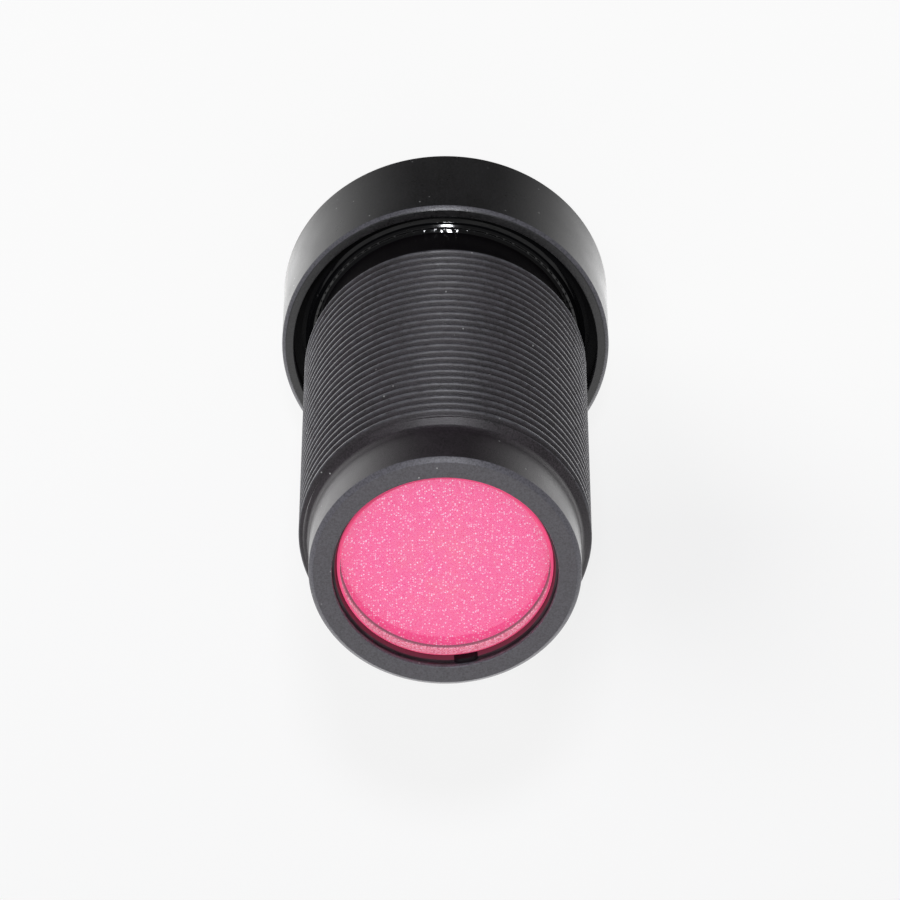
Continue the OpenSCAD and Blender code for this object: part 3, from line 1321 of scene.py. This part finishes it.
@dataclass
class Studio:
    """Pale floor, soft light and the camera over the lens's rear end."""

    # Camera, from a fit of the built circles to their outlines
    tilt: float = math.radians(32.694)
    focal_px: float = 6301.1
    distance: float = 255.37
    shift_right: float = -0.197
    shift_up: float = -5.011
    # Floor: its pale grey, the painted shade grey that bounced rays see on the -Y side, and the spans of Y
    # over which they and its glow change
    floor_half: float = 600.0
    floor_pale: Colour = (0.92, 0.92, 0.92)
    painted_shade_grey: Colour = (0.1, 0.1, 0.1)
    painted_shade_span: Span = (-14.0, 2.0)
    below_span: Span = (2.0, 12.0)
    glow_near_head: float = 0.95
    glow_below: float = 0.67
    paper_white: float = 0.96
    # What glossy rays see of the floor: a painted glow, darker by direction from the axis towards the -Y
    # side
    gloss_level: float = 2.1
    painted_dim_turn: float = math.radians(4.0)
    painted_dim_edge: float = 0.97
    painted_dim_fade: float = 0.18
    painted_dim_power: float = 1.2
    painted_dim_glow: float = 0.09
    # Sky over the floor, and the light that reaches the filter's coat through its glass
    sky_lean: float = math.radians(27.0)
    sky_low: float = 0.5
    sky_high: float = 0.95
    sky_floor: float = 0.13
    sky_peak: float = 1.08
    wall_glow: float = 0.85
    wall_side: Span = (0.5, 0.9)
    wall_top: Span = (0.4, 0.1)
    through_glass: float = 1.6
    # Lamps
    key: Softbox = Softbox("key", (0.38, -0.5, 0.78), (0.1, 0.1), 9.5, False)
    glint: Softbox = Softbox(
        "glint", (0.0, -0.669, 0.743), (0.03, 0.02), 120.0, True, tint=(0.94, 0.95, 1.0)
    )

    def build(self) -> None:
        """Builds the camera, the world, the lamps and the floor."""
        self._camera()
        self._world()
        self.key.build()
        self.glint.build()
        self._floor()

    def _camera(self) -> None:
        """Places the camera.

        The view direction lies in the plane of Y and Z, tilted from the optical axis, and the
        camera is turned over so that the head is at the top of the picture.
        """
        forward = Vector((0.0, math.sin(self.tilt), -math.cos(self.tilt)))
        up = Vector((0.0, -math.cos(self.tilt), -math.sin(self.tilt)))
        right = Vector((-1.0, 0.0, 0.0))
        target = Vector((0.0, 0.0, height_at("barrel", 0.0)))
        centre = target - right * self.shift_right - up * self.shift_up - forward * self.distance
        camera = bpy.data.cameras.new("camera")
        camera.sensor_width = SENSOR_WIDTH_MM
        camera.lens = self.focal_px * SENSOR_WIDTH_MM / PHOTO_WIDTH_PX
        camera.clip_start = CAMERA_NEAR
        camera.clip_end = CAMERA_FAR
        holder = add_to_scene("camera", camera)
        holder.matrix_world = Matrix(
            (
                (right.x, up.x, -forward.x, centre.x * MM),
                (right.y, up.y, -forward.y, centre.y * MM),
                (right.z, up.z, -forward.z, centre.z * MM),
                (0.0, 0.0, 0.0, 1.0),
            )
        )
        bpy.context.scene.camera = holder

    def _world(self) -> None:
        """Lights the lens from a soft sky that leans to the +Y side and is white to the camera.

        Two low pale walls stand on the -X and +X sides, and the -Y side stays dark. Light that
        enters the glass comes from an even sky of its own strength.
        """
        world = bpy.data.worlds.new("studio")
        bpy.context.scene.world = world
        world.use_nodes = True
        graph = Graph(world.node_tree)
        direction = graph.node("ShaderNodeTexCoord", {}, {}).outputs["Generated"]
        x, y, z = graph.axes(direction)
        toward = y * math.sin(self.sky_lean) + z * math.cos(self.sky_lean)
        walls = graph.math("ABSOLUTE", x).ramp(*self.wall_side) * z.ramp(*self.wall_top) * self.wall_glow
        glow = toward.ramp(self.sky_low, self.sky_high) * self.sky_peak + walls + self.sky_floor
        seen = graph.ray("Is Camera Ray")
        lit = glow + (self.through_glass - glow) * graph.ray("Is Transmission Ray")
        strength = seen + (1.0 - seen) * lit
        background = graph.node("ShaderNodeBackground", {}, {"Color": WHITE, "Strength": strength})
        graph.surface(background, "ShaderNodeOutputWorld")

    def _floor(self) -> None:
        """Adds the floor, white to the camera apart from the lens's soft shadow.

        Glossy rays see it as a painted glow, bright, and darker by direction towards the -Y side, where
        bounced rays also see a painted shade. The kind of ray sets the strength of its glow, and the
        place on the floor sets the glow's colour.
        """
        half = self.floor_half * MM
        mesh = bpy.data.meshes.new("floor")
        corners = [(-half, -half, 0.0), (half, -half, 0.0), (half, half, 0.0), (-half, half, 0.0)]
        mesh.from_pydata(corners, [], [(0, 1, 2, 3)])
        material, graph = new_graph("floor")
        seen = graph.math("MAXIMUM", graph.ray("Is Camera Ray"), graph.ray("Is Transmission Ray"))
        place = graph.place()
        x, y, _ = graph.axes(place)
        # Painted shade: bounced rays see the floor dim on its -Y side
        lit = graph.math("MAXIMUM", y.ramp(self.painted_shade_span[0] * MM, self.painted_shade_span[1] * MM), seen)
        painted_floor_tone = graph.blend(lit, self.painted_shade_grey, self.floor_pale)
        paper = graph.node("ShaderNodeBsdfDiffuse", {}, {"Color": painted_floor_tone})
        # Painted glow for glossy rays, dimmer towards the -Y side
        away = (x * math.sin(self.painted_dim_turn) + y * math.cos(self.painted_dim_turn)) / graph.radius(place)
        beyond = (0.0 - away).ramp(self.painted_dim_edge, self.painted_dim_fade) ** self.painted_dim_power
        brightest = self.gloss_level + self.painted_dim_glow
        dark = (self.painted_dim_glow / brightest,) * 3
        mirrored = graph.blend(graph.math("MAXIMUM", beyond, seen), dark, WHITE)
        strength = seen * self.paper_white + (1.0 - seen) * brightest
        white = graph.node("ShaderNodeEmission", {}, {"Color": mirrored, "Strength": strength})
        below = y.ramp(self.below_span[0] * MM, self.below_span[1] * MM)
        glowing = below * (self.glow_below - self.glow_near_head) + self.glow_near_head
        share = graph.math("MAXIMUM", seen * glowing, graph.ray("Is Glossy Ray"))
        shader = graph.node("ShaderNodeMixShader", {}, {0: share, 1: paper.outputs[0], 2: white.outputs[0]})
        graph.surface(shader)
        mesh.materials.append(material)
        add_to_scene("floor", mesh)


def main() -> None:
    """Builds the studio and every piece, in order."""
    logging.basicConfig(level=logging.INFO, format="%(name)s: %(message)s")
    bpy.context.scene.view_settings.view_transform = "Standard"
    Studio().build()
    # Painted highlight on the bevel of the neck's rear edge
    neck_highlight_bands = ((height_at("barrel", -0.17), height_at("barrel", -0.01)),)
    barrel = Anodised(
        "barrel_anodised",
        # Paler crests of the thread: partly wear, partly painted highlight
        worn_and_highlight_radius_mm=Barrel.thread_radius,
        highlight_bands_mm=neck_highlight_bands,
        # Painted shade on the relief just above the head
        painted_shade_top_mm=height_at("front_hood", 1.3),
    )
    Barrel(barrel).build()
    # Painted highlight on the bevel of the head's rim
    rim_highlight_bands = ((height_at("front_hood", -0.14), height_at("front_hood", -0.04)),)
    head = Anodised("head_anodised", (0.014, 0.0135, 0.0145), roughness=0.34, highlight_bands_mm=rim_highlight_bands)
    Head(head).build()
    SealantBead(CuredAdhesive("sealant_gloss")).build()
    Filter(
        PolishedGlass("filter_polished"),
        GroundGlass("filter_ground", height_at("ir_filter", -0.98), height_at("ir_filter", -0.1)),
        FilterCoat("filter_reflecting_coat"),
        # Glue on the slope by the plate: its red tone is painted pink light bounced from the coat
        CuredAdhesive("filter_glue_painted_pink_light", colour=(0.14, 0.032, 0.055), roughness=0.4),
        CuredAdhesive("filter_glue_dab", colour=(0.006, 0.003, 0.005), roughness=0.5, specular=0.2),
        CuredAdhesive("filter_glue_grey", colour=(0.03, 0.014, 0.02), roughness=0.4, specular=0.45),
    ).build()
    FrontLens(PolishedGlass("front_lens_coated", film_nm=320.0)).build()
    InnerStack(
        Anodised("ring_anodised", colour=(0.012, 0.012, 0.012), roughness=0.6),
        MaskFilm("mask_black"),
        PolishedGlass("inner_glass", index=1.6),
    ).dress()


if __name__ == "__main__":
    main()
